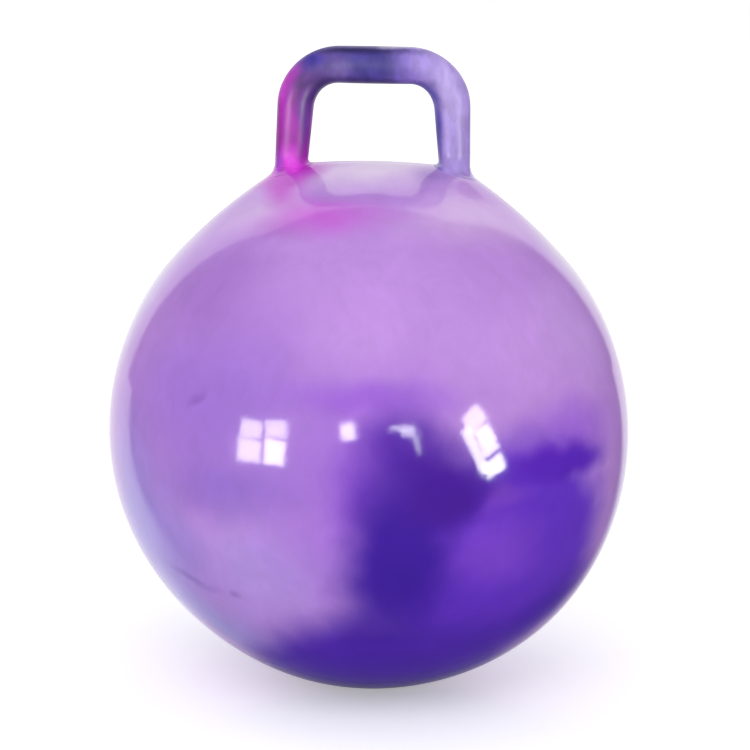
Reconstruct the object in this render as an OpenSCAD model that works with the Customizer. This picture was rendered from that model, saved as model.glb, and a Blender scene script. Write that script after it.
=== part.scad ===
// Hopper ball: an inflated ball with a hollow loop handle on top and an air valve on its back.
// The ball stands on the flat patch that its own weight presses into its skin, at z = 0.
// The loop handle lies in the plane y = 0, and the valve points to +Y and up.

/* [Ball] */
// Diameter of the inflated ball
ball_d = 450; // [380:5:600]
// Thickness of the ball's skin when it is inflated
skin_wall = 1; // [0.8:0.1:2]
// Radius of the patch that lies flat on the floor
contact_r = 24; // [18:1:32]
// How far the thick skin round the handle stands above the round ball
crown_rise = 5.4; // [3:0.2:8]
// Angle from the top at which the crown starts to rise
crown_angle = 47; // [43:1:52]

/* [Handle] */
// Radius of the tube along the grip and round the corners
grip_r = 15.7; // [14.5:0.1:17.5]
// Radius of the tube where a leg meets its foot
leg_r = 12.6; // [11.5:0.1:14]
// Thickness of the handle's wall
handle_wall = 2.6; // [1.8:0.1:4]
// Distance between the centres of the two feet
foot_span = 141; // [132:1:150]
// Lean of each leg towards the other
leg_lean = 3.5; // [1:0.5:6]
// Radius of the corners, on the line through the middle of the tube
corner_r = 37; // [32:1:42]
// Height of the finger gap, from the top of the crown to the grip
finger_gap = 68; // [64:1:80]
// Radius of the hollow round that joins a leg to its foot
foot_fillet = 14; // [11:0.5:16]

/* [Valve] */
// Height of the valve above the ball's middle, as an angle
valve_angle = 28; // [10:1:32]
// Radius of the air hole
bore_r = 4.5; // [4:0.1:5]
// Radius of the neck that hangs inside the ball
neck_r = 7.5; // [7:0.1:9]
// Length of the neck inside the ball
neck_length = 24; // [23:0.5:30]
// Radius of the flange that is bonded to the skin
flange_r = 15; // [13.5:0.5:20]
// Height of the flange above the skin
flange_height = 1.8; // [1.6:0.1:3]
// Radius of the plug's head
head_r = 8.5; // [8:0.1:10]
// Thickness of the plug's head
head_height = 2.2; // [1.8:0.1:3]
// Length of the plug's stem below its head
stem_length = 20; // [18:0.5:21]
// Height of the finger tab on the plug's head
tab_height = 2.6; // [2:0.1:4]

/* [Hidden] */
$fn = 96;
skin_colour = "#b385dc";
handle_colour = "#8e5cc8";
seat_colour = "#c9a6e6";
plug_colour = "#f4f1f7";

snap_step = 0.01;              // faces that meet end to end are placed on this grid
function snapped(value) = round(value / snap_step) * snap_step;

// Ball
overrun = 1;                   // how far a cut runs past the face it opens
ball_r = ball_d / 2;
centre_height = snapped(sqrt(pow(ball_r, 2) - pow(contact_r, 2)));
crown_r = ball_r + crown_rise;
// The crown is part of a smaller sphere, centred higher, that crosses the round ball at the crown's angle
cap_offset = snapped((pow(crown_r, 2) - pow(ball_r, 2)) / (2 * (crown_r - ball_r * cos(crown_angle))));
cap_r = crown_r - cap_offset;
cap_centre = centre_height + cap_offset;
crown_top = cap_centre + cap_r;

// Handle
bore_leg_r = leg_r - handle_wall;
grip_height = snapped(crown_top + finger_gap + grip_r);
foot_x = foot_span / 2;
foot_z = cap_centre + sqrt(pow(cap_r, 2) - pow(foot_x, 2));
foot_slope = asin(foot_x / cap_r);     // how far the skin under a foot falls outwards
foot_tilt = foot_slope + leg_lean;     // between a leg and the skin's normal
corner_turn = 90 - leg_lean;
corner_drop = corner_r * (1 - sin(leg_lean));
leg_length = snapped((grip_height - corner_drop - foot_z) / cos(leg_lean));
leg_sink = 2 * leg_r;                  // how far a leg is drawn below the skin before it is cut
leg_taper_length = snapped(leg_length - leg_r);
grip_half = snapped(foot_x - leg_length * sin(leg_lean) - corner_r * cos(leg_lean));
joint_lap = 0.3;                       // how far a leg's end runs up over the corner
joint_step = 0.05;                     // how far it stands out there, so that the two join as one solid
boss_turn = 90 - foot_tilt;            // angle that the boss's hollow side turns through

// Valve
seat_facets = 256;             // the flange's seat is cut from a fine ball
neck_clearance = 0.1;
head_clearance = 0.3;
head_gap = 0.1;
plug_clearance = 0.05;
recess_depth = 0.8;
flange_edge_share = 0.45;                    // round of the flange's edge, as a share of its height
stem_groove = 0.5;
stem_tip_r = 3.2;
stem_core_r = 2.1;
core_floor = 3;                              // solid length of the stem below the head
head_edge_share = 0.45;                      // round of the head's edge, as a share of its thickness
rib_width = 1.6;
rib_pitch = 4.6;
rib_count = 3;
tip_length = 4;
tab_width = 2.4;
tab_length_share = 0.8;                      // length of the tab as a share of the head's width
plug_seat = flange_height - recess_depth + head_gap;
stem_r = bore_r - plug_clearance;

// Half of the ball's outline, drawn in by inset, with the ball's centre at the origin
module ball_outline(inset) {
    floor_depth = centre_height - inset;
    intersection() {
        union() {
            circle(ball_r - inset);
            translate([0, cap_offset])
                circle(cap_r - inset);
        }
        translate([0, -floor_depth])
            square([ball_d, ball_d + floor_depth]);
    }
}

// Puts children on the valve's axis, with the skin's outside at z = 0
module on_valve_axis() {
    translate([0, 0, centre_height])
        rotate([valve_angle - 90, 0, 0])
            translate([0, 0, ball_r])
                children();
}

// Puts children on the axis of a leg, with z = 0 where the leg meets its corner
module on_leg(side) {
    mirror([side < 0 ? 1 : 0, 0, 0])
        translate([grip_half, 0, grip_height - corner_r])
            rotate([0, -leg_lean, 0])
                translate([corner_r, 0, 0])
                    children();
}

// Puts children on the skin's normal at the middle of a foot, with the skin at z = 0
module on_foot(side) {
    mirror([side < 0 ? 1 : 0, 0, 0])
        translate([0, 0, cap_centre])
            rotate([0, foot_slope, 0])
                translate([0, 0, cap_r])
                    children();
}

// The handle's tube, drawn in by inset, with legs that run on below the skin
module handle_tube(inset) {
    tube_r = grip_r - inset;
    root_r = leg_r - inset;
    translate([0, 0, grip_height])
        rotate([0, 90, 0])
            cylinder(h = 2 * grip_half, r = tube_r, center = true);
    for (side = [-1, 1]) {
        mirror([side < 0 ? 1 : 0, 0, 0])
            translate([grip_half, 0, grip_height - corner_r])
                rotate([90, 0, 0])
                    rotate_extrude(angle = corner_turn, start = leg_lean)
                        translate([corner_r, 0])
                            circle(tube_r);
        on_leg(side)
            translate([0, 0, -leg_taper_length])
                cylinder(h = leg_taper_length + joint_lap, r1 = root_r, r2 = tube_r + joint_step);
        on_leg(side)
            translate([0, 0, -leg_length - leg_sink])
                cylinder(h = leg_length + leg_sink - leg_taper_length, r = root_r);
    }
}

// A solid of revolution with a hollow side of the foot's round, from the middle out to its rim
module hollow_round(neck_radius, neck_height, turn) {
    round_x = neck_radius + foot_fillet * sin(turn);
    rotate_extrude()
        difference() {
            polygon([
                [0, -leg_r],
                [round_x, -leg_r],
                [round_x, neck_height - foot_fillet * (1 - cos(turn))],
                [neck_radius, neck_height],
                [0, neck_height]
            ]);
            translate([round_x, neck_height + foot_fillet * cos(turn)])
                circle(foot_fillet);
        }
}

// The ball's skin, open under the two feet and at the valve
module ball_skin() {
    color(skin_colour)
        difference() {
            translate([0, 0, centre_height])
                rotate_extrude()
                    difference() {
                        ball_outline(0);
                        ball_outline(skin_wall);
                    }
            for (side = [-1, 1])
                on_leg(side)
                    translate([0, 0, -leg_length])
                        cylinder(h = 2 * leg_sink, r = bore_leg_r, center = true);
            on_valve_axis()
                cylinder(h = 4 * neck_r, r = neck_r + neck_clearance, center = true);
        }
}

// The hollow loop, seated on the crown by its two feet
module loop_handle() {
    boss_height = foot_fillet * (1 - cos(boss_turn));
    boss_neck = leg_r / cos(foot_tilt) - boss_height * tan(foot_tilt);
    color(handle_colour)
        difference() {
            difference() {
                union() {
                    handle_tube(0);
                    for (side = [-1, 1])
                        on_foot(side)
                            hollow_round(boss_neck, boss_height, boss_turn);
                }
                translate([0, 0, cap_centre])
                    rotate([0, 0, 90])
                        sphere(cap_r);
            }
            handle_tube(handle_wall);
        }
}

// The valve's body: a flange that follows the skin and a neck through it
module valve_seat() {
    edge_r = flange_edge_share * flange_height;
    color(seat_colour)
        on_valve_axis()
            difference() {
                union() {
                    difference() {
                        union() {
                            translate([0, 0, -flange_height])
                                cylinder(h = 2 * flange_height - edge_r, r = flange_r);
                            cylinder(h = flange_height, r = flange_r - edge_r);
                            translate([0, 0, flange_height - edge_r])
                                rotate_extrude()
                                    translate([flange_r - edge_r, 0])
                                        circle(edge_r);
                        }
                        translate([0, 0, -ball_r])
                            rotate([90, 0, 0])
                                sphere(ball_r, $fn = seat_facets);
                    }
                    translate([0, 0, -neck_length])
                        cylinder(h = neck_length + flange_height / 2, r = neck_r);
                }
                translate([0, 0, -neck_length - overrun])
                    cylinder(h = neck_length + flange_height + 2 * overrun, r = bore_r);
                translate([0, 0, flange_height - recess_depth])
                    cylinder(h = recess_depth + overrun, r = head_r + head_clearance);
            }
}

// The stopper: a head with a finger tab, and a ribbed stem in the air hole
module valve_plug() {
    groove_r = stem_r - stem_groove;
    edge_r = head_edge_share * head_height;
    tab_half = tab_length_share * head_r - tab_width / 2;
    color(plug_colour)
        on_valve_axis()
            translate([0, 0, plug_seat])
                difference() {
                    union() {
                        cylinder(h = head_height - edge_r, r = head_r);
                        cylinder(h = head_height, r = head_r - edge_r);
                        translate([0, 0, head_height - edge_r])
                            rotate_extrude()
                                translate([head_r - edge_r, 0])
                                    circle(edge_r);
                        translate([-tab_half, -tab_width / 2, 0])
                            cube([2 * tab_half, tab_width, head_height + tab_height]);
                        for (side = [-1, 1])
                            translate([side * tab_half, 0, 0])
                                cylinder(h = head_height + tab_height, r = tab_width / 2);
                        translate([0, 0, -rib_width])
                            cylinder(h = rib_width, r = stem_r);
                        translate([0, 0, tip_length - stem_length])
                            cylinder(h = stem_length - tip_length, r = groove_r);
                        translate([0, 0, -stem_length])
                            cylinder(h = tip_length, r1 = stem_tip_r, r2 = groove_r);
                        for (rib = [1 : rib_count])
                            translate([0, 0, -rib * rib_pitch])
                                cylinder(h = rib_width, r = stem_r);
                    }
                    translate([0, 0, -stem_length - overrun])
                        cylinder(h = stem_length - core_floor + overrun, r = stem_core_r);
                }
}

ball_skin();
loop_handle();
valve_seat();
valve_plug();
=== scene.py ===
"""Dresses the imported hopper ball: its marbled skin, loop handle, air valve and a plain white stage.
Lengths are metres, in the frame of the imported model, unless a comment says otherwise."""

import math

import bmesh
import bpy
from mathutils import Matrix, Vector


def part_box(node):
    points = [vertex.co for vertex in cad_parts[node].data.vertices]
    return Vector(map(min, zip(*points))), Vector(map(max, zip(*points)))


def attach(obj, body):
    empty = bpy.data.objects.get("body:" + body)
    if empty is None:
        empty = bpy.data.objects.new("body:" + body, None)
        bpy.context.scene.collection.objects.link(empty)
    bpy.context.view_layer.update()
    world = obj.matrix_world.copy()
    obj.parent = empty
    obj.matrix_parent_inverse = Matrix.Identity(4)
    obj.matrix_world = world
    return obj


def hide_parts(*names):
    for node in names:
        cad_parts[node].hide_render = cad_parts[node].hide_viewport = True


bl_info = {
    "name": "Hopper ball",
    "version": (1, 0, 0),
    "blender": (4, 5, 0),
    "location": "View3D > Sidebar > Hopper ball",
    "description": "Builds the looks of a marbled hopper ball round its packed model",
    "category": "Object",
}

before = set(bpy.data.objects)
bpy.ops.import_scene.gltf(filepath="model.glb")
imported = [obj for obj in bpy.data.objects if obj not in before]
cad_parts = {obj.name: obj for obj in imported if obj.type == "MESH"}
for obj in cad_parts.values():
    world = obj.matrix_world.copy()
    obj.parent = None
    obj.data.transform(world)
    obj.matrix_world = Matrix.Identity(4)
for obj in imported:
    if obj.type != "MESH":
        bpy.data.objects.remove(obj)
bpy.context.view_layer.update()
BALL_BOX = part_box("ball_skin")
BALL_DIAMETER = BALL_BOX[1].x - BALL_BOX[0].x
MM = 0.001
PVC_IOR = 1.54


# Helpers


def linear(code):
    """Linear colour with alpha, from an sRGB hex code."""
    shares = [int(code[i : i + 2], 16) / 255 for i in (1, 3, 5)]
    levels = [s / 12.92 if s <= 0.04045 else ((s + 0.055) / 1.055) ** 2.4 for s in shares]
    return (*levels, 1.0)


def add_node(tree, kind, inputs=None, **settings):
    """Adds a node. An input is named or numbered, and gets a value or the output that feeds it."""
    node = tree.nodes.new(kind)
    for name, value in settings.items():
        setattr(node, name, value)
    for key, value in (inputs or {}).items():
        if isinstance(value, bpy.types.NodeSocket):
            tree.links.new(value, node.inputs[key])
        else:
            node.inputs[key].default_value = value
    return node


def new_material(name):
    """An empty material and its node tree."""
    material = bpy.data.materials.new(name)
    material.use_nodes = True
    material.node_tree.nodes.clear()
    return material, material.node_tree


def centred_places(tree):
    """Coordinates of the frame, and the same from the ball's centre."""
    place = add_node(tree, "ShaderNodeTexCoord").outputs["Object"]
    both = {0: place, 1: -ball_centre(bpy.context.scene.hopper_ball)}
    return place, add_node(tree, "ShaderNodeVectorMath", both, operation="ADD").outputs[0]


def inside(tree, *edges):
    """A share of 1 inside soft edges and 0 outside them.
    An edge is the value that crosses it, and that value just outside and just inside."""
    share = 1.0
    for value, outer, inner in edges:
        ends = {"Value": value, "From Min": outer, "From Max": inner}
        step = add_node(tree, "ShaderNodeMapRange", ends, interpolation_type="SMOOTHSTEP")
        both = {0: share, 1: step.outputs[0]}
        share = add_node(tree, "ShaderNodeMath", both, operation="MULTIPLY").outputs[0]
    return share


def varied(tree, *patches):
    """A share near 1 that varies from place to place.
    Patches are coordinates, their size, the noise's detail and roughness, how far it strays from
    its middle value, and the share at both ends of that."""
    share = 1.0
    for place, size, detail, roughness, stray, low, high in patches:
        cloud = {"Vector": place, "Scale": 1 / size, "Detail": detail, "Roughness": roughness}
        noise = add_node(tree, "ShaderNodeTexNoise", cloud).outputs[0]
        ends = {"From Min": 0.5 - stray, "From Max": 0.5 + stray, "To Min": low, "To Max": high}
        level = add_node(tree, "ShaderNodeMapRange", {"Value": noise, **ends})
        both = {0: share, 1: level.outputs[0]}
        share = add_node(tree, "ShaderNodeMath", both, operation="MULTIPLY").outputs[0]
    return share


def finish_pvc(tree, colour, roughness, relief):
    """Ends a material as soft PVC with a colour, a roughness and a relief."""
    looks = {"Base Color": colour, "Roughness": roughness, "IOR": PVC_IOR, "Normal": relief}
    shader = add_node(tree, "ShaderNodeBsdfPrincipled", looks)
    add_node(tree, "ShaderNodeOutputMaterial", {0: shader.outputs[0]})


def place_piece(name, mesh, material, body, nodes):
    """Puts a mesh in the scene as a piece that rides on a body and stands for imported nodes."""
    for polygon in mesh.polygons:
        polygon.use_smooth = True
    mesh.materials.append(material)
    piece = bpy.data.objects.new(name, mesh)
    bpy.context.scene.collection.objects.link(piece)
    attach(piece, body)
    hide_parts(*nodes)
    return piece


def smooth_min(a, b, blend):
    """The lower of two lengths, rounded over where they cross."""
    share = max(blend - abs(a - b), 0) / blend
    return min(a, b) - share * share * blend / 4


def arc_reach(centre_x, centre_z, radius, lean):
    """Distance from the origin to a circle, along a ray that leans from +Z towards +X."""
    along = centre_x * math.sin(lean) + centre_z * math.cos(lean)
    return along + math.sqrt(along**2 - centre_x**2 - centre_z**2 + radius**2)


# Shape of the ball

# How steeply the mound falls off to the front and the back
MOUND_FALL = 2.5
# Lobes, each with degrees round and up, spread in degrees and height in mm:
# the lower left is flatter and the lower right fuller
SKIN_LOBES = (
    (-90, -50, 26, -4.2),
    (90, -44, 30, 4.8),
)


def mound_height(direction, ball):
    """How far the thick skin round the handle stands above the round ball in a direction."""
    radius = ball.diameter / 2
    if direction.z <= 0:
        return 0.0
    lean = abs(math.atan2(direction.x, direction.z))
    edge = ball.mound_angle
    if lean >= edge:
        return 0.0
    back = radius - ball.shoulder_radius
    shoulder_x, shoulder_z = back * math.sin(edge), back * math.cos(edge)
    shoulder = arc_reach(shoulder_x, shoulder_z, ball.shoulder_radius, lean)
    crown = arc_reach(0, radius + ball.crown_rise - ball.crown_radius, ball.crown_radius, lean)
    rise = smooth_min(shoulder, crown, ball.mound_blend) - radius
    across = abs(direction.y) * radius / ball.mound_depth
    return rise * math.exp(-(across**MOUND_FALL))


def skin_radius(direction, ball):
    """Distance from the centre to the skin, with the lobes of a ball that isn't quite round."""
    lobe = 0.0
    for azimuth, elevation, spread, height in SKIN_LOBES:
        middle = ball_direction(azimuth, elevation)
        apart = math.degrees(direction.angle(middle)) / spread
        lobe += height * MM * math.exp(-apart * apart)
    return ball.diameter / 2 + mound_height(direction, ball) + lobe


def ball_direction(azimuth, elevation):
    """Direction on the ball, from degrees round from the front towards +X and degrees up."""
    a, e = math.radians(azimuth), math.radians(elevation)
    return Vector((math.sin(a) * math.cos(e), -math.cos(a) * math.cos(e), math.sin(e)))


def ball_centre(ball):
    """The ball's centre above the floor, from the flat patch that it stands on."""
    return Vector((0, 0, math.sqrt((ball.diameter / 2) ** 2 - ball.contact_radius**2)))


def on_skin(point, ball, lift=0.0):
    """The point of the skin on the ray from the ball's centre through a point."""
    centre = ball_centre(ball)
    direction = (point - centre).normalized()
    return centre + direction * (skin_radius(direction, ball) + lift)


def finished(mesh, name):
    """A mesh of the scene from one that was being edited."""
    data = bpy.data.meshes.new(name)
    mesh.to_mesh(data)
    mesh.free()
    return data


def raise_parting_line(mesh, ball):
    """Lifts the line where the halves of the mould met, in the plane of the handle."""
    mesh.normal_update()
    for vert in mesh.verts:
        share = max(1 - abs(vert.co.y) / ball.parting_width, 0)
        vert.co += vert.normal * ball.parting_height * min(2 * share, 1)


# Marbling: colours that were poured together in the mould, each with its place and reach, and among
# them some marked entries of painted light, shade, sheen and reflection

# Half depth of a swirl on the ball, in mm
SWIRL_DEPTH = 120


def ball_swirl(colour, azimuth, elevation, width, height, turn=0, softness=1.0, strength=1.0):
    """A swirl on the ball, by degrees round and up.
    Width and height are half sizes, in mm, of the line where it has half its strength."""
    out = ball_direction(azimuth, elevation)
    east = Vector((0, 0, 1)).cross(out).normalized()
    north = out.cross(east)
    axes = Matrix((east, north, out)).transposed() @ Matrix.Rotation(math.radians(turn), 3, "Z")
    reach = (width, height, SWIRL_DEPTH)
    return colour, out * BALL_DIAMETER / 2 / MM, axes, reach, softness, strength


def loop_swirl(
    colour, x, z, width, height, turn=0, softness=1.0, strength=1.0, y=-14, depth=24
):
    """A swirl on the handle, by mm from the ball's centre, with half sizes as on the ball."""
    axes = Matrix.Rotation(math.radians(-turn), 3, "Y")
    return colour, Vector((x, y, z)), axes, (width, depth, height), softness, strength


BALL_SWIRLS_AND_PAINTED_LIGHT = (
    # Lavender and orchid clouds of the upper front, with painted light, shade and sheen among them
    # where marked
    # Painted shade: the next two darken the left side of the front and its upper left
    ball_swirl("#a275d5", -34, 13, 84, 62, softness=0.9, strength=0.95),
    ball_swirl("#a676cc", -46, 38, 46, 38, softness=0.9, strength=0.85),
    # Painted light: a brighter patch high on the front
    ball_swirl("#c796e6", 3, 33, 42, 36, strength=0.7),
    ball_swirl("#ca9ae8", 36, 26, 40, 32, strength=0.7),
    ball_swirl("#c89ee6", 57, 29, 34, 34, strength=0.75),
    ball_swirl("#a064dc", 48, 7.5, 46, 20, strength=0.85),
    ball_swirl("#a066d8", 0, 16, 58, 15, softness=0.9, strength=0.85),
    ball_swirl("#bb9ae8", -24, -22, 52, 46, softness=0.9, strength=0.9),
    ball_swirl("#9c90e0", -60, -18, 38, 74, softness=0.9, strength=0.85),
    ball_swirl("#a29ce4", -46, -40, 54, 30, turn=-30, strength=0.85),
    ball_swirl("#8f6cce", -28, -3, 46, 18, strength=0.7),
    ball_swirl("#a08ee0", -46, -16, 24, 40, strength=0.6),
    # Painted sheen: a pale patch on the upper right
    ball_swirl("#d8b4e8", 46, 60, 52, 28, strength=0.7),
    ball_swirl("#cfaadf", -50, 59, 36, 18, strength=0.7),
    # Painted reflection: the pale crown between the feet, where the gloss would show the white
    # backdrop
    ball_swirl("#e4d2ea", 10, 84, 60, 26, strength=0.8),
    ball_swirl("#a262c2", -37, 56, 28, 12, turn=25, strength=0.6),
    ball_swirl("#ca66da", -21, 62, 42, 17, turn=12, strength=0.95),
    ball_swirl("#c04ccc", -58, 66, 30, 14, turn=-14, strength=0.9),
    # The next two: the feet's colours run onto the skin round both feet, and in part a painted
    # reflection of the legs in the gloss
    ball_swirl("#bc2cc4", -84, 72, 34, 27, softness=0.8),
    ball_swirl("#a07cc6", 58, 73, 20, 15),
    ball_swirl("#a886d0", 118, 69, 24, 20),
    # Painted sheen: the next two pale the left and right flanks, as the white backdrop in the gloss
    ball_swirl("#cdbcec", -82, 30, 24, 58, strength=0.8),
    ball_swirl("#d0bce8", 80, 41, 22, 36, strength=0.7),
    # Deep violet pour: a band down the front that opens over the lower right and the bottom
    ball_swirl("#9452da", 1, -4, 54, 72, turn=-8, strength=0.65),
    ball_swirl("#6a34b8", 8, 6, 30, 22, softness=0.9, strength=0.9),
    ball_swirl("#6634c8", 32, -19, 108, 102, softness=0.4),
    ball_swirl("#7d44c8", -1, -3, 24, 28, strength=0.9),
    ball_swirl("#562cb6", 11, -57, 110, 96, softness=0.4),
    ball_swirl("#431fa2", 6.5, -16, 41, 86, turn=-5, softness=0.75),
    ball_swirl("#8046d2", 28, -16, 36, 26, turn=-10, softness=0.9, strength=0.9),
    ball_swirl("#8048c8", 28, -3, 14, 9, strength=0.8),
    ball_swirl("#8c4ad6", 43, 3, 34, 9, strength=0.8),
    ball_swirl("#5c26be", 44, 2, 52, 15, turn=3, softness=0.7),
    ball_swirl("#7048c0", 80, -14, 24, 58, strength=0.85),
    ball_swirl("#4f26b0", 54, -36, 50, 30, turn=30, softness=0.9, strength=0.9),
    ball_swirl("#4a1c9c", 16, 0, 40, 30, softness=0.8),
    ball_swirl("#7a42c8", 30, -5, 20, 7, turn=12, strength=0.8),
    # Thin streaks
    ball_swirl("#8458b4", -39, 13.6, 9, 2.2, turn=62, strength=0.55),
    ball_swirl("#7a62b8", -46, -25, 22, 4.5, turn=-20, strength=0.5),
    ball_swirl("#8062b4", -33, -28, 5, 4, strength=0.5),
    # The same pours on the sides and the back
    ball_swirl("#9a68d8", 106, 10, 66, 60, softness=0.9, strength=0.85),
    ball_swirl("#c99ce8", 128, 36, 46, 34, turn=-20, strength=0.8),
    ball_swirl("#a98cdc", 104, -22, 40, 66, turn=10, softness=0.9, strength=0.8),
    ball_swirl("#c796e6", -128, 38, 50, 34, turn=15, strength=0.8),
    ball_swirl("#a678d6", -108, 10, 70, 52, turn=-12, softness=0.9, strength=0.85),
    ball_swirl("#bda2ea", -92, -30, 46, 40, softness=0.9, strength=0.8),
    ball_swirl("#e0c6ee", 196, 62, 52, 22, strength=0.8),
    ball_swirl("#c462d2", 164, 60, 44, 15, turn=-14, strength=0.85),
    ball_swirl("#a06ad4", 176, 12, 66, 30, turn=8, softness=0.9, strength=0.8),
    ball_swirl("#8c4cd0", 184, -8, 62, 70, turn=14, strength=0.85),
    ball_swirl("#6231ba", 212, -26, 104, 84, turn=-16, softness=0.4),
    ball_swirl("#4821a0", 186, -60, 110, 88, softness=0.4),
    ball_swirl("#431fa2", 190, -16, 32, 66, turn=18, softness=0.75),
    ball_swirl("#7c44cc", 214, -20, 40, 24, turn=20, softness=0.9, strength=0.9),
    ball_swirl("#5322ae", 228, -4, 62, 12, turn=-10, softness=0.8),
    ball_swirl("#a88ae0", 150, -26, 46, 40, turn=-30, softness=0.9, strength=0.85),
    ball_swirl("#6a3abc", 118, -48, 70, 26, turn=24, softness=0.7, strength=0.9),
    ball_swirl("#8a62c4", 146, 20, 22, 4, turn=-24, strength=0.4),
)

LOOP_SWIRLS_AND_PAINTED_LIGHT = (
    loop_swirl("#ae12b4", -72, 240, 24, 66, softness=0.5, y=0, depth=50),
    loop_swirl("#5e0880", -54, 300, 22, 22, turn=-35, softness=0.8, y=0, depth=40),
    loop_swirl("#5a4098", -30, 314, 26, 20, softness=0.8, y=0, depth=40),
    loop_swirl("#8870cc", 24, 314, 16, 20, softness=0.9, y=0, depth=40),
    loop_swirl("#453a98", -2, 314, 26, 20, softness=0.6, y=0, depth=40),
    loop_swirl("#8674b8", -30, 308, 9, 7, turn=30, strength=0.6),
    loop_swirl("#ee4cee", -70, 218, 11, 18, softness=0.9),
    loop_swirl("#cc38cc", -77, 296, 6, 22, turn=-25, softness=0.9, strength=0.9),
    loop_swirl("#c03ac4", -71, 266, 4, 20, turn=-8, strength=0.8),
    loop_swirl("#8c2a86", -83, 268, 3.5, 26, strength=0.8),
    loop_swirl("#6c2c9c", -57, 272, 5, 26, turn=-6, softness=0.9, strength=0.95),
    # Painted shade: a dark line in the inner corner of the left leg
    loop_swirl("#3a2270", -46, 292, 11, 3.5, turn=42, strength=0.9),
    loop_swirl("#9048c4", -80, 226, 3, 13, strength=0.8),
    loop_swirl("#c83cce", -71, 210, 32, 15, softness=0.8, y=0, depth=36),
    loop_swirl("#ae8cd4", 71, 210, 32, 15, softness=0.8, y=0, depth=36),
    loop_swirl("#3426a0", -52, 320, 10, 8, turn=25, strength=0.95),
    loop_swirl("#231a60", -20, 327, 44, 3, y=-11, depth=9),
    # Painted highlight: a pale line along the top of the grip
    loop_swirl("#c0b8d2", 12, 331, 28, 3, softness=0.9, strength=0.9, y=-1, depth=7),
    # Painted shade: a dark line along the underside of the grip
    loop_swirl("#231a60", -6, 298, 42, 4),
    # Painted shade: a dark strip down the inner side of the right leg, and a dark line in its inner
    # corner
    loop_swirl("#3c34a4", 54, 256, 4, 28, turn=6, y=-4),
    loop_swirl("#3c34a4", 46, 291, 12, 4, turn=-42, strength=0.9, y=-4),
    # Painted highlight: a pale streak down the right corner and the top of the right leg
    loop_swirl("#c4aef0", 63, 296, 9, 26, turn=16, softness=0.9, strength=0.8),
    # Painted highlight: a pale patch on the grip's right corner
    loop_swirl("#a894e0", 42, 318, 9, 7, turn=-10, strength=0.7),
)


# Sizes of the marbling, from one cloud, wisp, streak, grain or dimple to the next
POUR_SIZE = 90 * MM
WISP_SIZE = 22 * MM
CLOUD_SIZE = 35 * MM
STREAK_WIDTH = 9 * MM
GRAIN_SIZE = 1 * MM
SMUDGE_SIZE = 60 * MM
PEEL_SIZE = 9 * MM
# Streaks are drawn out upwards, so their height counts for less
STREAK_DRAW = (1, 1, 0.38)
# Height above the feet at which hands have fully dulled the gloss
WORN_HEIGHT = 25 * MM


def drift_pours(tree, place, drifts):
    """Coordinates in which the pours have drifted into each other and frayed into wisps."""
    drifted = place
    for size, drift, detail in zip((POUR_SIZE, WISP_SIZE), drifts, (2, 4)):
        flow = {"Vector": place, "Scale": 1 / size, "Detail": detail, "Roughness": 0.55}
        noise = add_node(tree, "ShaderNodeTexNoise", flow).outputs["Color"]
        both = {0: noise, 1: (0.5, 0.5, 0.5)}
        stray = add_node(tree, "ShaderNodeVectorMath", both, operation="SUBTRACT").outputs[0]
        move = {0: stray, 1: (drift,) * 3, 2: drifted}
        moved = add_node(tree, "ShaderNodeVectorMath", move, operation="MULTIPLY_ADD")
        drifted = moved.outputs[0]
    return drifted


def lay_swirls_and_painted_light(tree, place, ground, swirls_and_light):
    """The ground colour with each swirl laid over the ones before it."""
    colour = ground
    for code, middle, axes, reach, softness, strength in swirls_and_light:
        size = Vector(reach) * MM / (1 - softness / 2)
        pose = {"Location": middle * MM, "Rotation": axes.to_euler("XYZ"), "Scale": size}
        turned = add_node(
            tree, "ShaderNodeMapping", {"Vector": place, **pose}, vector_type="TEXTURE"
        )
        blob = add_node(
            tree, "ShaderNodeTexGradient", {0: turned.outputs[0]}, gradient_type="SPHERICAL"
        )
        edge = {"Value": blob.outputs[1], "From Max": softness, "To Max": strength}
        share = add_node(tree, "ShaderNodeMapRange", edge, interpolation_type="SMOOTHSTEP")
        mix = {0: share.outputs[0], 6: colour, 7: linear(code)}
        colour = add_node(tree, "ShaderNodeMix", mix, data_type="RGBA").outputs[2]
    return colour


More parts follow.
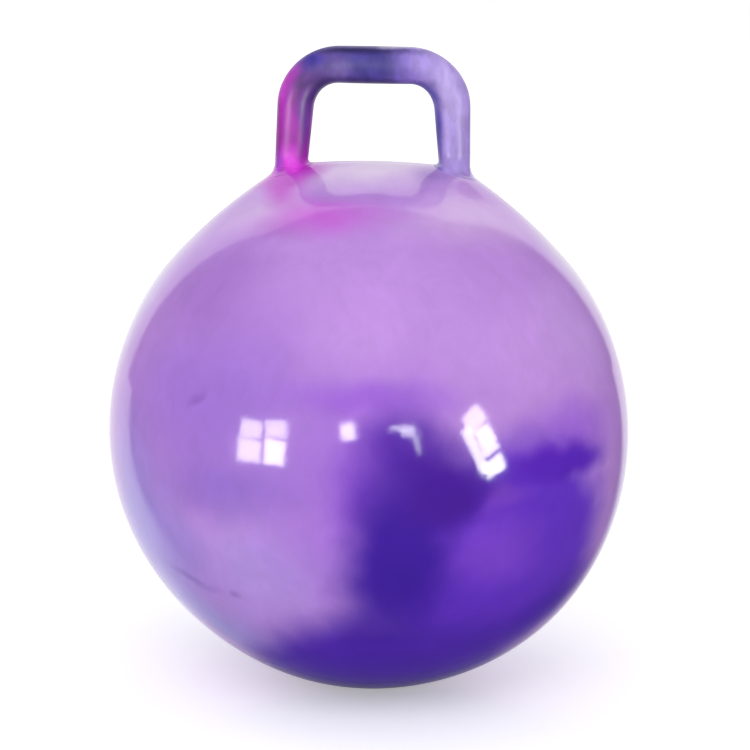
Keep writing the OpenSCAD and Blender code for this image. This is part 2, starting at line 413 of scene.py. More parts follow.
def marbled_pvc(name, ground, swirls_and_light, gloss, drifts, streaks, peel_depth):
    """Plasticised PVC, rotomoulded against a polished mould from several pigmented pours.
    To the eye: milky clouds with soft edges under a smooth, wet-looking gloss, and a faint
    orange peel. Some swirls are painted highlights, sheen, reflections and shade."""
    material, tree = new_material(name)
    place, centred = centred_places(tree)
    drifted = drift_pours(tree, centred, drifts)
    colour = lay_swirls_and_painted_light(tree, drifted, ground, swirls_and_light)
    # Milky clouds, grains of pigment and streaks of pigment that wasn't mixed in
    draw = {0: drifted, 1: STREAK_DRAW}
    drawn = add_node(tree, "ShaderNodeVectorMath", draw, operation="MULTIPLY").outputs[0]
    shade = varied(
        tree,
        (drifted, CLOUD_SIZE, 3, 0.6, 0.25, 0.95, 1.05),
        (place, GRAIN_SIZE, 1, 0.5, 0.2, 0.98, 1.02),
        (drawn, STREAK_WIDTH, 3, 0.5, 0.15, 1 - streaks, 1 + streaks),
    )
    tinted = add_node(tree, "ShaderNodeHueSaturation", {"Value": shade, "Color": colour})
    # Hands dull the gloss above the feet, and smudge it in patches
    height = add_node(tree, "ShaderNodeSeparateXYZ", {0: place}).outputs[2]
    foot = bpy.context.scene.hopper_handle.foot_height
    rise = {"Value": height, "From Min": foot, "From Max": foot + WORN_HEIGHT}
    wear = {"To Min": gloss[0], "To Max": gloss[1]}
    worn = add_node(tree, "ShaderNodeMapRange", {**rise, **wear}).outputs[0]
    smudges = varied(tree, (place, SMUDGE_SIZE, 3, 0.5, 0.15, 0.85, 1.2))
    dulled = add_node(tree, "ShaderNodeMath", {0: worn, 1: smudges}, operation="MULTIPLY")
    dimples = {"Vector": place, "Scale": 1 / PEEL_SIZE, "Detail": 1}
    peel = add_node(tree, "ShaderNodeTexNoise", dimples).outputs[0]
    relief = {"Height": peel, "Strength": 1, "Distance": peel_depth}
    bump = add_node(tree, "ShaderNodeBump", relief).outputs[0]
    finish_pvc(tree, tinted.outputs[0], dulled.outputs[0], bump)
    return material


# Finish of the valve: the pressed ring's flat bottom, shoulder and depth
RING_BOTTOM = 0.2 * MM
RING_SHOULDER = 0.6 * MM
RING_DEPTH = 0.3 * MM
# Lathe lines, matt grain and clouds
LATHE_PITCH = 0.4 * MM
LATHE_DEPTH = 0.004 * MM
GRAIN_DEPTH = 0.03 * MM
VALVE_CLOUD_SIZE = 6 * MM
# The bottom of the pressed ring is darker by this share
RING_DARKENING = 0.14


def moulded_pvc(name, colour, roughness, grain, ring, valve):
    """Soft PVC, injection moulded in a die that was turned on a lathe.
    To the eye: an even, slightly waxy colour, a fine matt grain, faint lathe lines and one
    pressed ring."""
    material, tree = new_material(name)
    place, centred = centred_places(tree)
    # Distance from the valve's axis, and from the ring
    both = {0: centred, 1: ball_direction(180, math.degrees(valve.angle))}
    arm = add_node(tree, "ShaderNodeVectorMath", both, operation="CROSS_PRODUCT").outputs[0]
    radius = add_node(tree, "ShaderNodeVectorMath", {0: arm}, operation="LENGTH").outputs["Value"]
    beside = add_node(tree, "ShaderNodeMath", {0: radius, 1: ring}, operation="SUBTRACT")
    off = add_node(tree, "ShaderNodeMath", {0: beside.outputs[0]}, operation="ABSOLUTE")
    clear = inside(tree, (off.outputs[0], RING_BOTTOM, RING_SHOULDER))
    ring_darkening = {"Value": clear, "From Max": 1, "To Min": 1 - RING_DARKENING, "To Max": 1}
    ring_darkened = add_node(tree, "ShaderNodeMapRange", ring_darkening).outputs[0]
    clouds = varied(tree, (place, VALVE_CLOUD_SIZE, 3, 0.5, 0.2, 0.93, 1.03))
    shade = add_node(tree, "ShaderNodeMath", {0: clouds, 1: ring_darkened}, operation="MULTIPLY")
    tint = {"Value": shade.outputs[0], "Color": linear(colour)}
    tinted = add_node(tree, "ShaderNodeHueSaturation", tint).outputs[0]
    pitch = {0: radius, 1: 2 * math.pi / LATHE_PITCH}
    turns = add_node(tree, "ShaderNodeMath", pitch, operation="MULTIPLY").outputs[0]
    lathe = add_node(tree, "ShaderNodeMath", {0: turns}, operation="SINE").outputs[0]
    grains = {"Vector": place, "Scale": 1 / (grain * MM), "Detail": 2}
    matt = add_node(tree, "ShaderNodeTexNoise", grains).outputs[0]
    below = {}
    for height, depth in ((matt, GRAIN_DEPTH), (lathe, LATHE_DEPTH), (clear, RING_DEPTH)):
        relief = {"Height": height, "Distance": depth, **below}
        below = {"Normal": add_node(tree, "ShaderNodeBump", relief).outputs[0]}
    finish_pvc(tree, tinted, roughness, below["Normal"])
    return material


# Shape of the handle

# Points along a leg, round a corner and along half of the grip
LEG_POINTS = 26
CORNER_POINTS = 30
GRIP_POINTS = 12
# The legs' taper starts this far below the grip's middle line, and is this long
TAPER_START = 25 * MM
TAPER_LENGTH = 70 * MM
# The tube is a little slimmer round the corners: place beside the middle, reaches and amount
CORNER_X = 48 * MM
CORNER_REACH_X = 22 * MM
CORNER_REACH_Z = 30 * MM
CORNER_SLIMMING = 0.4 * MM
# The left leg is a little thicker than the right one
LEFT_LEG = 0.3 * MM
RIGHT_LEG = -0.4 * MM
# Directions of the points round the tube, in degrees, closer together at the parting line
NEAR_LINE = (-4.3, -2.1, 0, 2.1, 4.3)
RING_TURNS = [start + turn for start in (0, 180) for turn in (*NEAR_LINE, *range(10, 171, 5))]
# Rings down the straight end of a leg and round its foot
LEG_STEPS = 4
FOOT_STEPS = 12
# A leg's free part starts this far above the reach of its foot
LEG_CLEARANCE = 10 * MM
# How far down a leg the skin is looked for, and how often that stretch is halved
SKIN_SEARCH = 60 * MM
SKIN_HALVINGS = 30
# The rim lies on the skin, and two more rings dip under it: how far beyond the rim, and how deep
RIM_LIFT = 0.12 * MM
RIM_DIPS = ((0.8 * MM, 0.3 * MM), (2.5 * MM, 0.9 * MM))


def loop_path(handle, side):
    """Half of the handle's middle line, from a foot to the middle of the grip.
    Gives places and directions."""
    lean = handle.leg_lean
    turn = handle.corner_radius
    grip_z = handle.grip_height
    leg = (grip_z - turn * (1 - math.sin(lean)) - handle.foot_height) / math.cos(lean)
    grip_half = handle.foot_span / 2 - leg * math.sin(lean) - turn * math.cos(lean)
    path = []
    for i in range(LEG_POINTS):
        rise = leg * i / LEG_POINTS
        x = handle.foot_span / 2 - rise * math.sin(lean)
        path.append((x, handle.foot_height + rise * math.cos(lean), lean))
    for i in range(CORNER_POINTS):
        a = lean + (math.pi / 2 - lean) * i / CORNER_POINTS
        path.append((grip_half + turn * math.cos(a), grip_z - turn + turn * math.sin(a), a))
    for i in range(GRIP_POINTS + 1):
        path.append((grip_half * (1 - i / GRIP_POINTS), grip_z, math.pi / 2))
    return [
        (Vector((side * x, 0, z)), Vector((-side * math.sin(a), 0, math.cos(a))))
        for x, z, a in path
    ]


def tube_radius(place, handle):
    """Radius of the tube: fullest along the grip, a little slimmer in the corners and legs."""
    drop = handle.grip_height - place.z
    down = min(max((drop - TAPER_START) / TAPER_LENGTH, 0), 1)
    radius = handle.grip_radius + (handle.leg_radius - handle.grip_radius) * down
    aside = (abs(place.x) - CORNER_X) / CORNER_REACH_X
    corner = math.exp(-(aside**2)) * math.exp(-((drop / CORNER_REACH_Z) ** 2))
    uneven = (LEFT_LEG if place.x < 0 else RIGHT_LEG) * down
    return radius - CORNER_SLIMMING * corner + uneven


def foot_reach(outward, handle):
    """How far a foot spreads over the skin.
    Outward is 1 away from the finger gap, -1 towards it and 0 beside it."""
    end = handle.foot_outer if outward > 0 else handle.foot_inner
    return handle.foot_side + (end - handle.foot_side) * outward**2


def make_loop(handle, ball):
    """The handle as one tube: from a foot up a leg, over the grip and down to the other foot."""
    sideways = Vector((0, 1, 0))
    left = loop_path(handle, -1)
    right = [(place, -along) for place, along in reversed(loop_path(handle, 1))]
    clear = handle.foot_height + handle.foot_side + LEG_CLEARANCE
    path = [(place, along) for place, along in left + right[1:] if place.z > clear]
    loops = []
    for place, along in path:
        u = sideways.cross(along).normalized()
        turns = [math.radians(turn) for turn in RING_TURNS]
        radius = tube_radius(place, handle)
        loops.append([place + (u * math.cos(a) + sideways * math.sin(a)) * radius for a in turns])
    first = make_foot(loops[0], path[0][0], -path[0][1], handle, ball)
    last = make_foot(loops[-1], path[-1][0], path[-1][1], handle, ball)
    mesh = bmesh.new()
    rows = [[mesh.verts.new(point) for point in loop] for loop in first[::-1] + loops + last]
    for lower, upper in zip(rows, rows[1:]):
        for k in range(len(lower)):
            n = (k + 1) % len(lower)
            mesh.faces.new((lower[k], lower[n], upper[n], upper[k]))
    bmesh.ops.recalc_face_normals(mesh, faces=mesh.faces)
    raise_parting_line(mesh, ball)
    return finished(mesh, "marbled_loop")


def make_foot(ring, middle, down, handle, ball):
    """Rings from the lowest one of a leg down to the skin, in a hollow curve all round."""
    side = 1 if middle.x > 0 else -1
    columns = []
    for point in ring:
        out = (point - middle).normalized()

        def leg_side(drop):
            place = middle + down * drop
            return place + out * tube_radius(place, handle)

        # Where the leg's side would meet the skin
        high, low = 0.0, SKIN_SEARCH
        for _ in range(SKIN_HALVINGS):
            drop = (high + low) / 2
            probe = leg_side(drop)
            sunk = (probe - on_skin(probe, ball)).dot(probe - ball_centre(ball)) < 0
            high, low = (high, drop) if sunk else (drop, low)
        reach = foot_reach(out.x * side, handle)
        meet = leg_side(drop)
        edge = on_skin(meet + out * reach, ball, RIM_LIFT)
        column = [leg_side((drop - reach) * i / LEG_STEPS) for i in range(1, LEG_STEPS + 1)]
        top = column[-1]
        for i in range(1, FOOT_STEPS + 1):
            t = i / FOOT_STEPS
            column.append(top * (1 - t) ** 2 + meet * 2 * t * (1 - t) + edge * t**2)
        for beyond, depth in RIM_DIPS:
            column.append(on_skin(meet + out * (reach + beyond), ball, -depth))
        columns.append(column)
    return [list(row) for row in zip(*columns)]


def make_skin(ball, valve):
    """The ball's skin as an even net of quads, flat where it stands and open at the valve."""
    mesh = bmesh.new()
    bmesh.ops.create_cube(mesh, size=2)
    bmesh.ops.subdivide_edges(mesh, edges=mesh.edges[:], cuts=ball.net - 1, use_grid_fill=True)
    centre = ball_centre(ball)
    for vert in mesh.verts:
        # The tangent keeps the net's quads nearly one size all over the ball
        direction = Vector([math.tan(c * math.pi / 4) for c in vert.co]).normalized()
        vert.co = centre + direction * skin_radius(direction, ball)
    # Rows of points along both sides of the parting line
    for off in (-1, -0.5, 0.5, 1):
        everything = mesh.verts[:] + mesh.edges[:] + mesh.faces[:]
        plane = {"plane_co": (0, off * ball.parting_width, 0), "plane_no": (0, 1, 0)}
        bmesh.ops.bisect_plane(mesh, geom=everything, dist=1e-6, **plane)
    raise_parting_line(mesh, ball)
    for vert in mesh.verts:
        vert.co.z = max(vert.co.z, 0)
    axis = ball_direction(180, math.degrees(valve.angle))
    hole = valve.opening / (ball.diameter / 2)
    under = [v for v in mesh.verts if (v.co - centre).normalized().angle(axis) < hole]
    bmesh.ops.delete(mesh, geom=under, context="VERTS")
    return finished(mesh, "marbled_skin")


# Stage

# Least depth by which a direction's sides are divided
LEAST_DEPTH = 0.02
# Widths over which the edges of backdrop and paper fade
BACKDROP_SIDE_FADE = 0.12
BACKDROP_TOP_FADE = 0.3
PAPER_FRONT_FADE = 0.25
PAPER_RIGHT_FADE = 0.2
PAPER_LEFT_FADE = 0.12
# The paper's fibres, and half of the floor's length
FIBRE_SIZE = 4 * MM
FIBRE_DEPTH = 0.05 * MM
FLOOR_HALF = 30.0
WHITE = (1, 1, 1, 1)


def seen_share(tree):
    """1 for what the camera, a reflection or glass sees, and 0 for what only gives light."""
    path = add_node(tree, "ShaderNodeLightPath")
    share = path.outputs["Is Camera Ray"]
    for ray in ("Is Glossy Ray", "Is Transmission Ray"):
        both = {0: share, 1: path.outputs[ray]}
        share = add_node(tree, "ShaderNodeMath", both, operation="MAXIMUM").outputs[0]
    return share


def build_world(stage):
    """White all round for the camera.
    The gloss sees a white backdrop behind the ball and a dimmer room in front of it."""
    world = bpy.data.worlds.new("white_studio")
    bpy.context.scene.world = world
    world.use_nodes = True
    tree = world.node_tree
    tree.nodes.clear()
    direction = add_node(tree, "ShaderNodeTexCoord").outputs["Generated"]
    x, y, z = add_node(tree, "ShaderNodeSeparateXYZ", {0: direction}).outputs
    depth = add_node(tree, "ShaderNodeMath", {0: y, 1: LEAST_DEPTH}, operation="MAXIMUM")
    across, up = (
        add_node(tree, "ShaderNodeMath", {0: side, 1: depth.outputs[0]}, operation="DIVIDE")
        for side in (x, z)
    )
    left, right, top = stage.backdrop_left, stage.backdrop_right, stage.backdrop_top
    sheet = inside(
        tree,
        (across.outputs[0], -left - BACKDROP_SIDE_FADE, -left),
        (across.outputs[0], right + BACKDROP_SIDE_FADE, right),
        (up.outputs[0], top + BACKDROP_TOP_FADE, top),
    )
    room = {0: sheet, 6: (*stage.room_colour, 1), 7: WHITE}
    gloss = add_node(tree, "ShaderNodeMix", room, data_type="RGBA").outputs[2]
    seen = {0: seen_share(tree), 6: (stage.fill,) * 3 + (1,), 7: gloss}
    lit = add_node(tree, "ShaderNodeMix", seen, data_type="RGBA").outputs[2]
    path = add_node(tree, "ShaderNodeLightPath")
    camera = {0: path.outputs["Is Camera Ray"], 6: lit, 7: WHITE}
    colour = add_node(tree, "ShaderNodeMix", camera, data_type="RGBA").outputs[2]
    background = add_node(tree, "ShaderNodeBackground", {0: colour, 1: 1.0})
    add_node(tree, "ShaderNodeOutputWorld", {0: background.outputs[0]})


def paper_share(tree, stage, place):
    """1 where the gloss sees white paper, behind and beside the ball, and 0 on the dim floor."""
    across, behind, _ = add_node(tree, "ShaderNodeSeparateXYZ", {0: place}).outputs
    edge = {0: behind, 1: -stage.paper_right_slant, 2: across}
    right = add_node(tree, "ShaderNodeMath", edge, operation="MULTIPLY_ADD").outputs[0]
    edge = {0: behind, 1: stage.paper_left_slant, 2: across}
    left = add_node(tree, "ShaderNodeMath", edge, operation="MULTIPLY_ADD").outputs[0]
    return inside(
        tree,
        (behind, stage.paper_edge - PAPER_FRONT_FADE, stage.paper_edge),
        (right, stage.paper_right + PAPER_RIGHT_FADE, stage.paper_right),
        (left, -stage.paper_left - PAPER_LEFT_FADE, -stage.paper_left),
    )


def build_floor(stage):
    """A matt white paper sweep that keeps the ball's shadow.
    To the eye: an even white without any sheen, with only a trace of fibres."""
    material, tree = new_material("matt_white_paper")
    place = add_node(tree, "ShaderNodeTexCoord").outputs["Object"]
    fibres = {"Vector": place, "Scale": 1 / FIBRE_SIZE, "Detail": 2}
    fibrous = add_node(tree, "ShaderNodeTexNoise", fibres).outputs[0]
    relief = {"Height": fibrous, "Distance": FIBRE_DEPTH}
    bump = add_node(tree, "ShaderNodeBump", relief).outputs[0]
    path = add_node(tree, "ShaderNodeLightPath")
    gloss = {0: 1, 1: path.outputs["Is Glossy Ray"]}
    other = add_node(tree, "ShaderNodeMath", gloss, operation="SUBTRACT").outputs[0]
    both = {0: paper_share(tree, stage, place), 1: other}
    paper = add_node(tree, "ShaderNodeMath", both, operation="MAXIMUM").outputs[0]
    mix = {0: paper, 6: linear("#55525c"), 7: linear("#f4f4f4")}
    shade = add_node(tree, "ShaderNodeMix", mix, data_type="RGBA").outputs[2]
    matt = add_node(tree, "ShaderNodeBsdfDiffuse", {0: shade, "Normal": bump}).outputs[0]
    lift = {0: paper, 1: stage.floor_lift}
    lifted = add_node(tree, "ShaderNodeMath", lift, operation="MULTIPLY").outputs[0]
    glow = add_node(tree, "ShaderNodeEmission", {0: WHITE, 1: lifted}).outputs[0]
    lit = add_node(tree, "ShaderNodeAddShader", {0: matt, 1: glow}).outputs[0]
    mixed = add_node(tree, "ShaderNodeMixShader", {0: seen_share(tree), 1: matt, 2: lit})
    add_node(tree, "ShaderNodeOutputMaterial", {0: mixed.outputs[0]})
    half = FLOOR_HALF
    corners = [(-half, -half, 0), (half, -half, 0), (half, half, 0), (-half, half, 0)]
    data = bpy.data.meshes.new("floor")
    data.from_pydata(corners, [], [(0, 1, 2, 3)])
    data.materials.append(material)
    floor = bpy.data.objects.new("floor", data)
    bpy.context.scene.collection.objects.link(floor)


def build_lamp(
    name, azimuth, elevation, distance, width, height, level, roll=0,
    tint=(1, 1, 1), gloss=True, diffuse=True,
):
    """A flat lamp that faces the ball, by degrees round from the front and up.
    Its level is its brightness."""
    light = bpy.data.lights.new(name, "AREA")
    light.shape = "RECTANGLE"
    light.size, light.size_y = width, height
    light.energy = level * math.pi * width * height
    light.color = tint
    lamp = bpy.data.objects.new(name, light)
    centre = Vector((0, 0, BALL_DIAMETER / 2))
    out = ball_direction(azimuth, elevation)
    facing = out.to_track_quat("Z", "Y").to_matrix()
    lamp.location = centre + out * distance
    lamp.rotation_euler = (facing @ Matrix.Rotation(math.radians(roll), 3, "Z")).to_euler()
    lamp.visible_camera = False
    lamp.visible_glossy = gloss
    lamp.visible_diffuse = diffuse
    bpy.context.scene.collection.objects.link(lamp)


# The key lamp lights the ball but doesn't show in its gloss
# Lamps: degrees round and up, distance, width, height, level and roll in degrees
KEY = ("key", -10, 36, 2.4, 1.8, 1.4, 1.9)
DAYLIGHT = (1.0, 1.0, 0.9)
# Panes of the windows and small lamps of the room, which only show in the gloss
PANES = (
    ("pane_left_1", -48.6, 6.2, 2.2, 0.37, 0.25, 12, 2),
    ("pane_left_2", -37.7, 7.6, 2.2, 0.35, 0.25, 12, 5),
    ("pane_left_3", -48.9, -2.5, 2.2, 0.41, 0.37, 13.5, -3),
    ("pane_left_4", -37.8, -2.1, 2.2, 0.33, 0.43, 18, -1),
    ("pane_right_1", 42.3, 12.2, 1.1, 0.17, 0.135, 14, 34),
    ("pane_right_2", 41.9, 0.4, 1.1, 0.072, 0.36, 18, 27),
    ("pane_right_3", 46.6, 3.9, 1.1, 0.135, 0.2, 19, 24),
    ("pane_right_4", 49.8, -5.6, 1.1, 0.16, 0.115, 22, 26),
    ("lamp_small", -8.0, 9.4, 2.2, 0.21, 0.25, 17, 12),
    ("lamp_corner_1", 13.9, 10.7, 2.2, 0.38, 0.08, 11, 0),
    ("lamp_corner_2", 16.4, 8.7, 2.2, 0.22, 0.12, 11, -6),
    ("lamp_corner_3", 19.9, 4.1, 2.2, 0.07, 0.29, 9, 13),
)


def build_camera(stage):
    """A camera at the photograph's height and distance, with a slight roll.
    The ball stands a little low in the frame."""
    radius = BALL_DIAMETER / 2
    focal = stage.ball_share / radius * math.sqrt(stage.distance**2 - radius**2)
    pitch, roll = stage.elevation, stage.roll
    ahead = Vector((0, math.cos(pitch), -math.sin(pitch)))
    above = Vector((0, math.sin(pitch), math.cos(pitch)))
    right = Vector((1, 0, 0)) * math.cos(roll) + above * math.sin(roll)
    top = Vector((-1, 0, 0)) * math.sin(roll) + above * math.cos(roll)
    sight = (ahead + right * stage.offset_x / focal + top * stage.offset_y / focal).normalized()
    data = bpy.data.cameras.new("camera")
    data.sensor_width = 36
    data.lens = focal * data.sensor_width
    camera = bpy.data.objects.new("camera", data)
    centre = ball_centre(bpy.context.scene.hopper_ball)
    spot = centre - sight * stage.distance
    turned = Matrix((right, top, -ahead)).transposed().to_4x4()
    camera.matrix_world = Matrix.Translation(spot) @ turned
    bpy.context.scene.collection.objects.link(camera)
    bpy.context.scene.camera = camera


# Settings


class HopperBallSkin(bpy.types.PropertyGroup):
    """Sizes of the ball."""

    diameter: bpy.props.FloatProperty(
        name="Diameter", description="Diameter of the inflated ball",
        default=BALL_DIAMETER, unit="LENGTH",
    )
    contact_radius: bpy.props.FloatProperty(
        name="Contact radius", description="Radius of the patch that lies flat",
        default=0.024, unit="LENGTH",
    )
    crown_rise: bpy.props.FloatProperty(
        name="Crown rise", description="Height of the thick skin between the feet",
        default=0.0075, unit="LENGTH",
    )
    crown_radius: bpy.props.FloatProperty(
        name="Crown radius", description="Radius of the flat crown, across the feet",
        default=0.63, unit="LENGTH",
    )
    shoulder_radius: bpy.props.FloatProperty(
        name="Shoulder radius", description="Radius of the long shoulders outside the feet",
        default=0.45, unit="LENGTH",
    )
    mound_angle: bpy.props.FloatProperty(
        name="Mound angle", description="Angle from the top where the shoulders end",
        default=0.8203, subtype="ANGLE",
    )
    mound_blend: bpy.props.FloatProperty(
        name="Mound blend", description="How softly crown and shoulders join",
        default=0.004, unit="LENGTH",
    )
    mound_depth: bpy.props.FloatProperty(
        name="Mound depth", description="Reach of the mound to the front and the back",
        default=0.042, unit="LENGTH",
    )
    parting_width: bpy.props.FloatProperty(
        name="Parting width", description="Half width of the mould's parting line",
        default=0.0011, unit="LENGTH",
    )
    parting_height: bpy.props.FloatProperty(
        name="Parting height", description="Height of the mould's parting line",
        default=0.00025, unit="LENGTH", precision=5,
    )
    net: bpy.props.IntProperty(
        name="Net", description="Quads along a side of the skin's net", default=96, min=8
    )


class HopperBallHandle(bpy.types.PropertyGroup):
    """Sizes of the handle."""

    grip_radius: bpy.props.FloatProperty(
        name="Grip radius", description="Radius of the tube along the grip",
        default=0.0156, unit="LENGTH",
    )
    leg_radius: bpy.props.FloatProperty(
        name="Leg radius", description="Radius of the tube above a foot",
        default=0.0130, unit="LENGTH",
    )
    foot_span: bpy.props.FloatProperty(
        name="Foot span", description="Distance between the middles of the feet",
        default=0.141, unit="LENGTH",
    )
    foot_height: bpy.props.FloatProperty(
        name="Foot height", description="Height of the feet above the floor",
        default=0.4422, unit="LENGTH",
    )
    grip_height: bpy.props.FloatProperty(
        name="Grip height", description="Height of the grip's middle line above the floor",
        default=0.53782, unit="LENGTH",
    )
    leg_lean: bpy.props.FloatProperty(
        name="Leg lean", description="Lean of each leg towards the other",
        default=0.0611, subtype="ANGLE",
    )
    corner_radius: bpy.props.FloatProperty(
        name="Corner radius", description="Radius of the corners on the middle line",
        default=0.037, unit="LENGTH",
    )
    foot_inner: bpy.props.FloatProperty(
        name="Inner foot", description="Spread of a foot towards the finger gap",
        default=0.005, unit="LENGTH",
    )
    foot_outer: bpy.props.FloatProperty(
        name="Outer foot", description="Spread of a foot away from the finger gap",
        default=0.009, unit="LENGTH",
    )
    foot_side: bpy.props.FloatProperty(
        name="Side foot", description="Spread of a foot to the front and the back",
        default=0.014, unit="LENGTH",
    )


class HopperBallValve(bpy.types.PropertyGroup):
    """Sizes of the air valve and its place."""

    angle: bpy.props.FloatProperty(
        name="Angle", description="Height of the valve above the ball's middle",
        default=0.48869, subtype="ANGLE",
    )
    opening: bpy.props.FloatProperty(
        name="Opening", description="Radius of the hole in the skin under the flange",
        default=0.0105, unit="LENGTH",
    )
    seat_ring: bpy.props.FloatProperty(
        name="Seat ring", description="Radius of the ring pressed into the flange",
        default=0.0118, unit="LENGTH",
    )
    plug_ring: bpy.props.FloatProperty(
        name="Plug ring", description="Radius of the ring pressed into the plug's head",
        default=0.0071, unit="LENGTH",
    )


class HopperBallLooks(bpy.types.PropertyGroup):
    """Colours and finish of the marbled ball and handle."""

    skin_ground: bpy.props.FloatVectorProperty(
        name="Skin", description="Ground colour of the ball",
        default=linear("#bc8cdd"), size=4, subtype="COLOR",
    )
    loop_ground: bpy.props.FloatVectorProperty(
        name="Handle", description="Ground colour of the handle",
        default=linear("#aa92dc"), size=4, subtype="COLOR",
    )
    drift: bpy.props.FloatProperty(
        name="Drift", description="How far the pours drift into each other",
        default=0.05, unit="LENGTH",
    )
    wisps: bpy.props.FloatProperty(
        name="Wisps", description="How far their edges fray into wisps",
        default=0.008, unit="LENGTH",
    )
    loop_drift: bpy.props.FloatProperty(
        name="Handle drift", description="How far the pours drift into each other on the handle",
        default=0.014, unit="LENGTH",
    )
    loop_wisps: bpy.props.FloatProperty(
        name="Handle wisps", description="How far their edges fray on the handle",
        default=0.009, unit="LENGTH",
    )
    streaks: bpy.props.FloatProperty(
        name="Streaks", description="Strength of the streaks of unmixed pigment",
        default=0.016, min=0, max=1,
    )
    loop_streaks: bpy.props.FloatProperty(
        name="Handle streaks", description="Strength of the streaks on the handle",
        default=0.14, min=0, max=1,
    )
    peel: bpy.props.FloatProperty(
        name="Orange peel", description="Depth of the skin's orange peel",
        default=0.00006, unit="LENGTH", precision=5,
    )
    roughness: bpy.props.FloatProperty(
        name="Roughness", description="Roughness of the moulded gloss", default=0.1, min=0, max=1
    )
    loop_roughness: bpy.props.FloatProperty(
        name="Handle roughness", description="Roughness of the handle, dulled by hands",
        default=0.46, min=0, max=1,
    )


class HopperBallStage(bpy.types.PropertyGroup):
    """Camera and light."""

    elevation: bpy.props.FloatProperty(
        name="Elevation", description="Angle by which the camera looks down",
        default=math.radians(9.5), subtype="ANGLE",
    )
    roll: bpy.props.FloatProperty(
        name="Roll", description="Roll of the camera", default=math.radians(1), subtype="ANGLE"
    )
    distance: bpy.props.FloatProperty(
        name="Distance", description="From the camera to the ball's centre",
        default=2.0, unit="LENGTH",
    )
    ball_share: bpy.props.FloatProperty(
        name="Ball in frame", description="Radius of the ball as a share of the frame's width",
        default=259.5 / 750,
    )
    offset_x: bpy.props.FloatProperty(
        name="Sideways",
        description="Ball's centre beside the frame's centre, as a share of its width",
        default=-6.5 / 750,
    )
    offset_y: bpy.props.FloatProperty(
        name="Upwards",
        description="Ball's centre above the frame's centre, as a share of its width",
        default=-53.2 / 750,
    )
    fill: bpy.props.FloatProperty(
        name="Fill", description="Brightness of the plain light all round", default=0.8
    )
    floor_lift: bpy.props.FloatProperty(
        name="Floor lift", description="Glow that brings the lit floor up to white", default=0.36
    )
    paper_edge: bpy.props.FloatProperty(
        name="Paper edge", description="Front edge of the white paper, behind the ball's centre",
        default=0.1, unit="LENGTH",
    )
    paper_left: bpy.props.FloatProperty(
        name="Paper left", description="Left edge of the white paper, beside the ball",
        default=0.36, unit="LENGTH",
    )
    paper_left_slant: bpy.props.FloatProperty(
        name="Paper left slant",
        description="How far the left edge runs outwards, per unit of depth",
        default=1.2,
    )
    paper_right: bpy.props.FloatProperty(
        name="Paper right", description="Right edge of the white paper, beside the ball",
        default=0.05, unit="LENGTH",
    )
    paper_right_slant: bpy.props.FloatProperty(
        name="Paper right slant",
        description="How far the right edge runs outwards, per unit of depth",
        default=0.7,
    )
    room_colour: bpy.props.FloatVectorProperty(
        name="Room", description="The room in front of the ball, in the gloss",
        default=(0.15, 0.11, 0.18), subtype="COLOR",
    )
    backdrop_left: bpy.props.FloatProperty(
        name="Backdrop left", description="Left edge of the backdrop, per unit of depth",
        default=0.84,
    )
    backdrop_right: bpy.props.FloatProperty(
        name="Backdrop right", description="Right edge of the backdrop, per unit of depth",
        default=0.55,
    )
    backdrop_top: bpy.props.FloatProperty(
        name="Backdrop top", description="Top edge of the backdrop, per unit of depth", default=1.35
    )


# Operators


class HOPPER_OT_stage(bpy.types.Operator):
    """Sets up the floor, the light and the camera"""

    bl_idname = "hopper.stage"
    bl_label = "Stage"

    def execute(self, context):
        stage = context.scene.hopper_stage
        build_camera(stage)
        build_world(stage)
        build_floor(stage)
        build_lamp(*KEY, gloss=False)
        for pane in PANES:
            build_lamp(*pane, tint=DAYLIGHT, diffuse=False)
        return {"FINISHED"}


class HOPPER_OT_skin(bpy.types.Operator):
    """Builds the inflated ball with its marbled skin"""

    bl_idname = "hopper.skin"
    bl_label = "Ball skin"

    def execute(self, context):
        scene = context.scene
        looks = scene.hopper_looks
        drifts = (looks.drift, looks.wisps)
        gloss = (looks.roughness, looks.roughness)
        poured = (looks.skin_ground, BALL_SWIRLS_AND_PAINTED_LIGHT, gloss, drifts, looks.streaks, looks.peel)
        material = marbled_pvc("marbled_rotomoulded_pvc", *poured)
        mesh = make_skin(scene.hopper_ball, scene.hopper_valve)
        place_piece("ball_marbled_skin", mesh, material, "ball", ["ball_skin"])
        return {"FINISHED"}


class HOPPER_OT_handle(bpy.types.Operator):
    """Builds the loop handle and its two feet"""

    bl_idname = "hopper.handle"
    bl_label = "Loop handle"

    def execute(self, context):
        scene = context.scene
        looks = scene.hopper_looks
        drifts = (looks.loop_drift, looks.loop_wisps)
        gloss = (looks.roughness, looks.loop_roughness)
        poured = (looks.loop_ground, LOOP_SWIRLS_AND_PAINTED_LIGHT, gloss, drifts, looks.loop_streaks, looks.peel)
        material = marbled_pvc("marbled_rotomoulded_pvc_handle", *poured)
        mesh = make_loop(scene.hopper_handle, scene.hopper_ball)
        nodes = ["loop_handle"]
        place_piece("handle_marbled_loop", mesh, material, "ball", nodes)
        return {"FINISHED"}


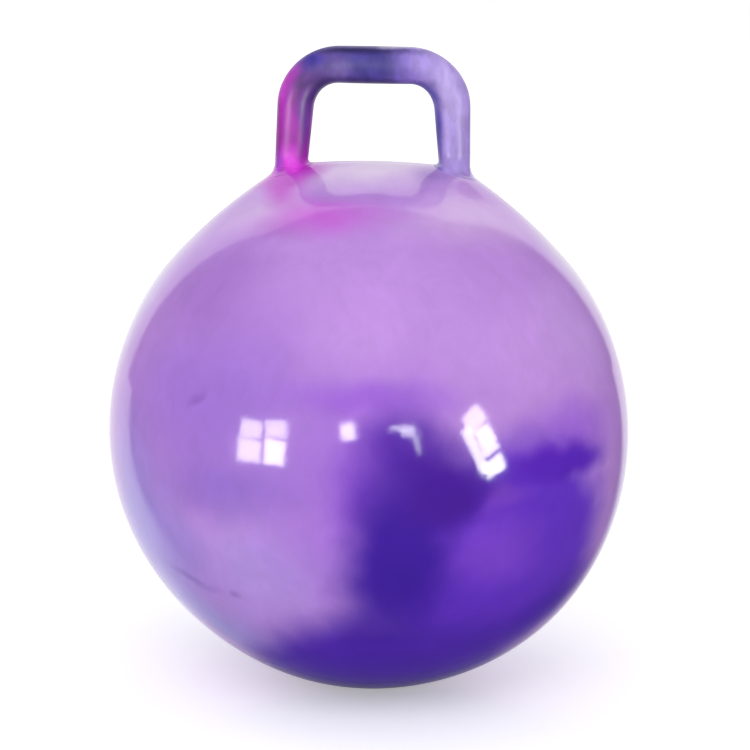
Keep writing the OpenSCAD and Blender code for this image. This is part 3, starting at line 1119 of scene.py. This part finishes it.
class HOPPER_OT_valve(bpy.types.Operator):
    """Gives the valve seat and its plug their materials"""

    bl_idname = "hopper.valve"
    bl_label = "Air valve"

    def execute(self, context):
        valve = context.scene.hopper_valve
        # Name, colour, roughness, grain in mm and ring of each material
        finishes = {
            "valve_seat": ("moulded_pvc_lavender", "#c9a6e6", 0.35, 1.2, valve.seat_ring),
            "valve_plug": ("moulded_pvc_white", "#f1eef6", 0.45, 0.8, valve.plug_ring),
        }
        for name, finish in finishes.items():
            material = moulded_pvc(*finish, valve)
            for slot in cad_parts[name].material_slots:
                slot.material = material
        return {"FINISHED"}


class HOPPER_PT_panel(bpy.types.Panel):
    """Lists the pieces of the hopper ball and their settings"""

    bl_idname = "HOPPER_PT_panel"
    bl_label = "Hopper ball"
    bl_space_type = "VIEW_3D"
    bl_region_type = "UI"
    bl_category = "Hopper ball"

    def draw(self, context):
        for group, operator in PANEL_ROWS:
            settings = getattr(context.scene, group)
            for name in settings.__annotations__:
                self.layout.prop(settings, name)
            if operator:
                self.layout.operator(operator)


PANEL_ROWS = (
    ("hopper_looks", None),
    ("hopper_ball", "hopper.skin"),
    ("hopper_handle", "hopper.handle"),
    ("hopper_valve", "hopper.valve"),
    ("hopper_stage", "hopper.stage"),
)
GROUPS = {
    "hopper_ball": HopperBallSkin,
    "hopper_handle": HopperBallHandle,
    "hopper_valve": HopperBallValve,
    "hopper_looks": HopperBallLooks,
    "hopper_stage": HopperBallStage,
}
CLASSES = tuple(GROUPS.values()) + (
    HOPPER_OT_stage,
    HOPPER_OT_skin,
    HOPPER_OT_handle,
    HOPPER_OT_valve,
    HOPPER_PT_panel,
)


def register():
    for cls in CLASSES:
        bpy.utils.register_class(cls)
    for name, group in GROUPS.items():
        setattr(bpy.types.Scene, name, bpy.props.PointerProperty(type=group))


def unregister():
    for name in GROUPS:
        delattr(bpy.types.Scene, name)
    for cls in reversed(CLASSES):
        bpy.utils.unregister_class(cls)


def main():
    register()
    bpy.context.scene.view_settings.view_transform = "Standard"
    bpy.ops.hopper.stage()
    bpy.ops.hopper.skin()
    bpy.ops.hopper.handle()
    bpy.ops.hopper.valve()


if __name__ == "__main__":
    main()
